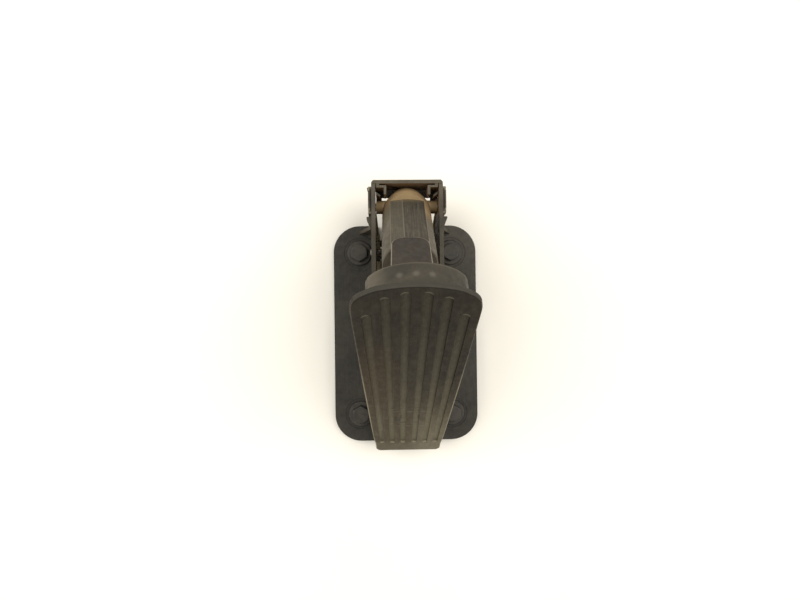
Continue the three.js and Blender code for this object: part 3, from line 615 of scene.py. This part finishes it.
MATS = {name: aged_plastic(name, **look) for name, look in PLASTICS.items()}
MATS.update({name: metal(name, **look) for name, look in METALS.items()})


# ---------------------------------------------------------------- solids
def new_object(name, verts, faces, matrix=None):
    mesh = bpy.data.meshes.new(name)
    mesh.from_pydata([tuple(v) for v in verts], [], faces)
    if matrix is not None:
        mesh.transform(matrix)
    obj = bpy.data.objects.new(name, mesh)
    bpy.context.collection.objects.link(obj)
    bm = bmesh.new()
    bm.from_mesh(mesh)
    bmesh.ops.remove_doubles(bm, verts=bm.verts, dist=1e-7)
    bmesh.ops.recalc_face_normals(bm, faces=bm.faces)
    bm.to_mesh(mesh)
    bm.free()
    return obj


def ring_faces(n, layers):
    """The side faces and the two end faces of layers of n points each."""
    faces = []
    for k in range(layers - 1):
        a, b = k * n, (k + 1) * n
        faces += [[a + i, a + (i + 1) % n, b + (i + 1) % n, b + i] for i in range(n)]
    return faces + [list(range(n))[::-1], list(range((layers - 1) * n, layers * n))]


def prism(outline, low, high, matrix):
    verts = [(x, y, z) for z in (low, high) for x, y in outline]
    n = len(outline)
    faces = [list(range(n))[::-1], list(range(n, 2 * n))]
    faces += [[i, (i + 1) % n, n + (i + 1) % n, n + i] for i in range(n)]
    return new_object("work", verts, faces, matrix)


def inset_by(outline, inset):
    """The outline moved inward (it runs anticlockwise) by inset at each corner."""
    out, n = [], len(outline)
    for i, (x, y) in enumerate(outline):
        (ax, ay), (bx, by) = outline[i - 1], outline[(i + 1) % n]
        first = Vector((x - ax, y - ay)).normalized()
        second = Vector((bx - x, by - y)).normalized()
        normal = Vector((-first.y - second.y, first.x + second.x)).normalized()
        stretch = min(1.4, 1 / max(0.3, normal.dot(Vector((-first.y, first.x)))))
        out.append((x + normal.x * inset * stretch, y + normal.y * inset * stretch))
    return out


def layered(outline, rows, matrix, square_below=-math.inf):
    """A slab built up from (inset, height) rows of one outline, so that its rim can be rounded.
    An end below square_below keeps an almost square edge."""
    verts = []
    for inset, height in rows:
        for (_, old_y), (x, y) in zip(outline, inset_by(outline, inset)):
            if old_y < square_below:
                y = old_y + min(inset, 0.25)
            verts.append((x, y, height))
    return new_object("work", verts, ring_faces(len(outline), len(rows)), matrix)


def block(x0, x1, y0, y1, z0, z1, matrix):
    return prism([(x0, y0), (x1, y0), (x1, y1), (x0, y1)], z0, z1, matrix)


def lathe(profile, segments, matrix, at=(0, 0, 0)):
    """A turned body about the local Z axis through at, from (radius, height) points that end on
    the axis."""
    verts, faces, rows = [], [], []
    for r, z in profile:
        if r < 1e-9:
            verts.append((at[0], at[1], at[2] + z))
            rows.append([len(verts) - 1] * segments)
            continue
        start = len(verts)
        for i in range(segments):
            a = 2 * math.pi * i / segments
            verts.append((at[0] + r * math.cos(a), at[1] + r * math.sin(a), at[2] + z))
        rows.append(list(range(start, start + segments)))
    for low, high in zip(rows, rows[1:]):
        for i in range(segments):
            j = (i + 1) % segments
            corners = list(dict.fromkeys((low[i], low[j], high[j], high[i])))
            if len(corners) > 2:
                faces.append(corners)
    return new_object("work", verts, faces, matrix)


def cylinder(r, low, high, matrix, segments=48, at=(0, 0, 0)):
    return lathe([(0, low), (r, low), (r, high), (0, high)], segments, matrix, at)


def rod_x(r, x0, x1, centre, segments=48):
    """A rod along X, about the axis through centre, which is a (Y, Z) pair in the part's frame."""
    turned = Matrix.Translation((0, *centre)) @ Matrix.Rotation(math.radians(90), 4, "Y")
    return cylinder(r, x0, x1, Matrix.Scale(MM, 4) @ turned, segments)


def bake_modifiers(obj):
    """Replaces the object's mesh by what its modifiers make of it."""
    graph = bpy.context.evaluated_depsgraph_get()
    mesh = bpy.data.meshes.new_from_object(obj.evaluated_get(graph))
    obj.modifiers.clear()
    old, obj.data = obj.data, mesh
    bpy.data.meshes.remove(old)


def carve(obj, other, kind):
    """Joins, cuts or trims obj by other, which is used up."""
    modifier = obj.modifiers.new("carve", "BOOLEAN")
    modifier.operation = kind
    modifier.solver = "EXACT"
    modifier.object = other
    bake_modifiers(obj)
    bpy.data.objects.remove(other)


def fuse(obj, *others):
    for other in others:
        carve(obj, other, "UNION")


def cut(obj, *others):
    for other in others:
        carve(obj, other, "DIFFERENCE")


def smooth_through(points, steps):
    """An open Catmull-Rom curve through the points."""
    out, last = [], len(points) - 1
    for i in range(last):
        a, b, c, d = (points[max(0, min(last, i + k))] for k in (-1, 0, 1, 2))
        for j in range(steps):
            t = j / steps
            out.append(tuple(0.5 * (2 * b[k] + (c[k] - a[k]) * t
                                    + (2 * a[k] - 5 * b[k] + 4 * c[k] - d[k]) * t * t
                                    + (3 * b[k] - a[k] - 3 * c[k] + d[k]) * t ** 3)
                             for k in (0, 1)))
    return out + [points[-1]]


def smooth_share(share):
    """0 to 1 eased at both ends, clamped outside."""
    share = min(1, max(0, share))
    return share * share * (3 - 2 * share)


def clean(mesh, flat_degrees, sliver=None):
    """Merges doubled points and flat faces, and with sliver given, drops edges shorter than it."""
    bm = bmesh.new()
    bm.from_mesh(mesh)
    bmesh.ops.remove_doubles(bm, verts=bm.verts, dist=2e-6)
    bmesh.ops.dissolve_limit(bm, angle_limit=math.radians(flat_degrees), verts=bm.verts,
                             edges=bm.edges)
    if sliver:
        bmesh.ops.dissolve_degenerate(bm, edges=bm.edges, dist=sliver)
    bm.to_mesh(mesh)
    bm.free()


def finish_piece(obj, name, nodes, slot, bevel, segments, angle, crease=38):
    """Rounds the edges (bevel in mm), shades the piece, gives it its material and puts it in the
    place of its CAD nodes."""
    clean(obj.data, 0.4, 3e-6)
    if bevel:
        modifier = obj.modifiers.new("round", "BEVEL")
        modifier.width = bevel * MM
        modifier.segments = segments
        modifier.limit_method = "ANGLE"
        modifier.angle_limit = math.radians(angle)
        modifier.use_clamp_overlap = True
        modifier.miter_outer = "MITER_ARC"
        bake_modifiers(obj)
    for polygon in obj.data.polygons:
        polygon.use_smooth = True
    obj.data.set_sharp_from_angle(angle=math.radians(crease))
    obj.name = name
    obj.data.name = name
    obj.data.materials.clear()
    obj.data.materials.append(MATS[slot])
    weighted = obj.modifiers.new("normals", "WEIGHTED_NORMAL")
    weighted.keep_sharp = True
    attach(obj, BODY_OF[nodes[0]])
    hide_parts(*nodes)
    return obj


def from_cad(node, bevel, crease=38, extra=None):
    """A finished copy of a CAD node: merged faces, rounded edges and smooth shading."""
    obj = NODES[node].copy()
    obj.data = NODES[node].data.copy()
    obj.parent = None
    obj.matrix_world = NODES[node].matrix_world
    obj.data.transform(obj.matrix_world)
    obj.matrix_world = Matrix.Identity(4)
    for key in list(obj.keys()):
        del obj[key]
    bpy.context.collection.objects.link(obj)
    clean(obj.data, 0.5)
    if extra is not None:
        fuse(obj, extra)
    return finish_piece(obj, f"{node}_finished", [node], SLOT_OF[node], bevel, 2, 32, crease)


# ---------------------------------------------------------------- base plate
def rounded_rectangle(half, r, steps=20):
    points = []
    for cx, cy, start in ((1, -1, -90), (1, 1, 0), (-1, 1, 90), (-1, -1, 180)):
        for i in range(steps + 1):
            a = math.radians(start + 90 * i / steps)
            points.append((cx * (half[0] - r) + r * math.cos(a),
                           cy * (half[1] - r) + r * math.sin(a)))
    return points


def make_plate():
    plate = prism(rounded_rectangle(PLATE_HALF, PLATE_CORNER), 0, PLATE_TOP, ROW_M)
    recess = [(0, 8.1), (12.4, 8.1), (13.4, 9.2), (0, 9.2)]
    for sx, sy in CORNERS:
        at = (sx * BOLT_X, sy * BOLT_Y, 0)
        fuse(plate, cylinder(BOSS_R, 0.5, BOSS_TOP, ROW_M, 96, at))
        cut(plate, lathe(recess, 96, ROW_M, at), cylinder(BOLT_HOLE_R, -1, 10, ROW_M, 32, at))
    for x0, x1 in ((-27, -20), (20, 27)):  # level seats for the feet of the cheeks
        cut(plate, block(x0, x1, 45, 80, PLATE_TOP, 12, ROW_M))
    notch = [(-20.5, 77), (20.5, 77), (22.3, 91), (-22.3, 91)]
    cut(plate, prism(notch, -1, 9, ROW_M))
    finish_piece(plate, "base_plate_finished", ["base_plate"], "plate_plastic", 0.9, 4, 50, 40)


def make_bolts():
    low, high = WASHER_SEAT + PLAY, WASHER_SEAT + WASHER_THICK
    washer = [(BOLT_HOLE_R, low), (9.7, low), (10.3, WASHER_SEAT + 0.4), (10.3, WASHER_SEAT + 1.1),
              (9.6, high), (BOLT_HOLE_R, high), (BOLT_HOLE_R, low)]
    seat = high + PLAY
    domed = [(0, seat - 1), (9, seat - 1), (9, seat + 4.2), (7.6, seat + 4.9), (6.3, seat + 5.42),
             (5.6, seat + HEX_HIGH), (0, seat + HEX_HIGH)]
    for i, (sx, sy) in enumerate(CORNERS, 1):
        at = (sx * BOLT_X, sy * BOLT_Y, 0)
        finish_piece(lathe(washer, 96, ROW_M, at), f"bolt_washer_{i}", [f"base_washer_{i}"],
                     "blackened_steel", 0.15, 2, 30)
        corners = [math.radians(90 + 60 * k) for k in range(6)]
        hexagon = [(at[0] + HEX_R * math.cos(a), at[1] + HEX_R * math.sin(a)) for a in corners]
        head = prism(hexagon, seat, seat + HEX_HIGH, ROW_M)
        carve(head, lathe(domed, 96, ROW_M, at), "INTERSECT")
        fuse(head, cylinder(4, 0.6, seat + 1, ROW_M, 32, at))
        finish_piece(head, f"bolt_head_{i}", [f"base_bolt_{i}"],
                     "blackened_steel", 0.25, 2, 25)


# ---------------------------------------------------------------- treadle
def pad_outline():
    right = [(w, s) for s, w in PAD_SIDE]
    right += [(x, PAD_LENGTH - HEAD_ARC * x * x) for x in (24, 18, 12, 6)]
    curve = smooth_through(right + [(0, PAD_LENGTH)], 6)
    curve = [(22.6, 0), (24.4, 0.5)] + curve
    return curve + [(-x, s) for x, s in curve[-2::-1]]


def groove(low_x, high_x, top):
    """A groove's cutter: it widens up the slope, ends square at the heel and in a low arch at the
    head, which leans with the pad's own head."""
    low, half, corner = GROOVE_HEEL, GROOVE_HALF_LOW, 0.7
    lean = math.copysign(1.6 if abs(high_x) > 20 else 0.6, high_x)
    outline = [(low_x - half, low + corner), (low_x - half + corner, low),
               (low_x + half - corner, low), (low_x + half, low + corner)]
    for k in range(13):
        a = math.pi * k / 12
        rise = GROOVE_ARCH * math.sin(a) ** 0.6
        outline.append((high_x + GROOVE_HALF_HIGH * math.cos(a),
                        top - GROOVE_ARCH - lean * math.cos(a) + rise))
    return prism(outline, -2, 2, TREADLE_M)


def make_pad():
    rows = [(0.8, PAD_UNDERSIDE), (0.25, -3.75), (0, -3.2)]
    for degrees in range(0, 91, 15):
        a = math.radians(degrees)
        rows.append((PAD_ROUND - PAD_ROUND * math.cos(a), -PAD_ROUND + PAD_ROUND * math.sin(a)))
    pad = layered(pad_outline(), rows, TREADLE_M, 0.3)
    for low_x, high_x, top in GROOVES:
        cut(pad, groove(low_x, high_x, top), groove(-low_x, -high_x, top))
    for x, s in PAD_SCREWS:
        cut(pad, cylinder(1.4, -5, -1.4, TREADLE_M, 24, (x, s, 0)))
    finish_piece(pad, "treadle_face", ["treadle_pad"], "pad_plastic", 0.35, 3, 40)


def body_outline(inset):
    """The shell's outline in from its side walls; its head leans a little to the right."""
    scale = 1 - inset / 30
    shoulder = BODY_SIDE[-1][0]
    right = [(w - inset, max(s, 2 + inset)) for s, w in BODY_SIDE]
    right += [(x * scale, shoulder + (s - shoulder) * scale * 0.98) for x, s in BODY_HEAD]
    right.append((0, BODY_LENGTH - inset))
    left = [(-x, s) for x, s in right[-2::-1]]
    head = smooth_through(right[-8:] + left[:7], 8)
    outline = right[:-8] + head + left[7:]
    return [(x + BODY_LEAN * smooth_share((s - 90) / 90), s) for x, s in outline]


def make_body():
    rooted = BODY_FLOOR + 0.5  # ribs and bosses reach this far into the shell's floor
    body = prism(body_outline(0), BODY_BACK, PAD_UNDERSIDE - PLAY, TREADLE_M)
    cut(body, prism(body_outline(BODY_WALL), BODY_BACK - 1, BODY_FLOOR, TREADLE_M))
    for x in (-14.6, 14.6):
        fuse(body, block(x - 1, x + 1, 26, 192, -13, rooted, TREADLE_M))
    for s in (40, 75, 110, 140, 182):
        fuse(body, block(-21, 21, s - 1, s + 1, -12, rooted, TREADLE_M))
    cut(body, block(-30, 30, -6, 4.6, -30, -15, TREADLE_M),
        block(-17.8, 17.8, -6, 8, -30, BODY_FLOOR, TREADLE_M))
    for side in (-1, 1):  # the two ears on the hinge pin
        x0, x1 = sorted((side * 18, side * 21.7))
        fuse(body, rod_x(7.2, x0, x1, HINGE), block(x0, x1, 2.2, 14, -20, rooted, TREADLE_M))
    cut(body, rod_x(4.9, -40, 40, HINGE), block(-17.98, 17.98, -6, 20, -30, -7.2, TREADLE_M))
    fuse(body, cylinder(11, -9.6, rooted, TREADLE_M, 64, (0, 159.4, 0)))
    for x, s in PAD_SCREWS:
        cut(body, cylinder(1.6, -12, 0, TREADLE_M, 24, (x, s, 0)))
    finish_piece(body, "treadle_shell", ["treadle_body"], "body_plastic", 0.5, 3, 40)


# ---------------------------------------------------------------- strut
def narrow_dome(barrel):
    """The dome is narrower across than the barrel's tube."""
    for vertex in barrel.data.vertices:
        place = STRUT_M.inverted() @ vertex.co
        place.x *= 1 - DOME_NARROWING * smooth_share((4 - place.z) / 11)
        vertex.co = STRUT_M @ place


def make_barrel():
    r, end = BARREL_R, BARREL_LENGTH
    angles = [math.radians(a) for a in range(4, 90, 4)]
    dome = [(r * math.sin(a), -r * math.cos(a)) for a in angles]
    tube = [(r, 0), (r, end - 0.8), (r - 0.7, end), (0, end)]
    barrel = lathe([(0, -r)] + dome + tube, 96, STRUT_M)
    narrow_dome(barrel)
    start = [(x, TRACK_START + TRACK_ARC * min(1, abs(x) / 13) ** 2) for x in range(-30, 31, 2)]
    cut(barrel, prism([(30, 70), (-30, 70)] + start, -30, -TRACK_DEPTH, LAID_STRUT_M),
        cylinder(BARREL_BORE, 12, end + 1, STRUT_M, 72),
        block(-12.6, 12.6, -30, -15.4, 20, end + 1, STRUT_M))
    for x0, x1 in ((14, 22.9), (-22.9, -14)):
        fuse(barrel, rod_x(5, x0, x1, PIVOT, 64))
    cut(barrel, rod_x(3.03, -30, 30, PIVOT))
    finish_piece(barrel, "strut_outer", ["strut_barrel"], "barrel_plastic", 0.45, 3, 34)


def make_tongue():
    arch = []
    for i in range(49):
        a = math.radians(180 + 180 * i / 48)
        c = math.cos(a)
        arch.append((12.9 * math.copysign(abs(c) ** 0.75, c), 66.5 + 8.8 * math.sin(a)))
    outline = arch + [(13.7, 100), (13.7, 107), (-13.7, 107), (-13.7, 100)]
    rows = [(1.0, -17.2), (0.45, -17.05), (0.12, -16.7), (0, -16.2), (0, -14.8)]
    tongue = layered(outline, rows, LAID_STRUT_M)
    for x in (-6, 6):
        cut(tongue, cylinder(1.8, -22, -10, LAID_STRUT_M, 24, (x, 104.9, 0)))
    finish_piece(tongue, "guide_tongue_finished", ["guide_tongue"], "tongue_plastic", 0.2, 2, 60)


make_plate()
make_bolts()
make_pad()
make_body()
make_barrel()
make_tongue()

# ---------------------------------------------------------------- the rest of the CAD, refined
REBUILT = {"base_plate", "treadle_pad", "treadle_body", "strut_barrel", "guide_tongue"}
REBUILT |= {f"base_{kind}_{i}" for kind in ("bolt", "washer") for i in range(1, 5)}
for node in sorted(set(NODES) - REBUILT):
    if node.startswith("return_spring"):
        spring = from_cad(node, 0, 80)
        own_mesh(spring)
    elif node.startswith("side_cover"):
        side = 1 if node.endswith("right") else -1
        x0, x1 = sorted((side * 26.5, side * 27.9))
        from_cad(node, 0.3, extra=block(x0, x1, 92, 109, 64.3, 67.6, ROW_M))
    elif node.startswith(("cheek", "rear_", "heel_bracket", "cable_socket")):
        from_cad(node, 0.3)
    else:
        from_cad(node, 0.15)

# ---------------------------------------------------------------- floor
floor = new_object("floor", [(-3, -3, 0), (3, -3, 0), (3, 3, 0), (-3, 3, 0)], [(0, 1, 2, 3)])
paper = Tree("paper")
cloudy = paper.step(paper.noise(paper.place, 6, 3), 0.3, 0.7)
tone = paper.mix(cloudy, (0.885, 0.85, 0.765, 1), (0.905, 0.87, 0.785, 1))
fibres = paper.bump(paper.noise(paper.place, 900, 2), 0.05, 0.0002)
floor.data.materials.append(paper.done(tone, 0.9, fibres))
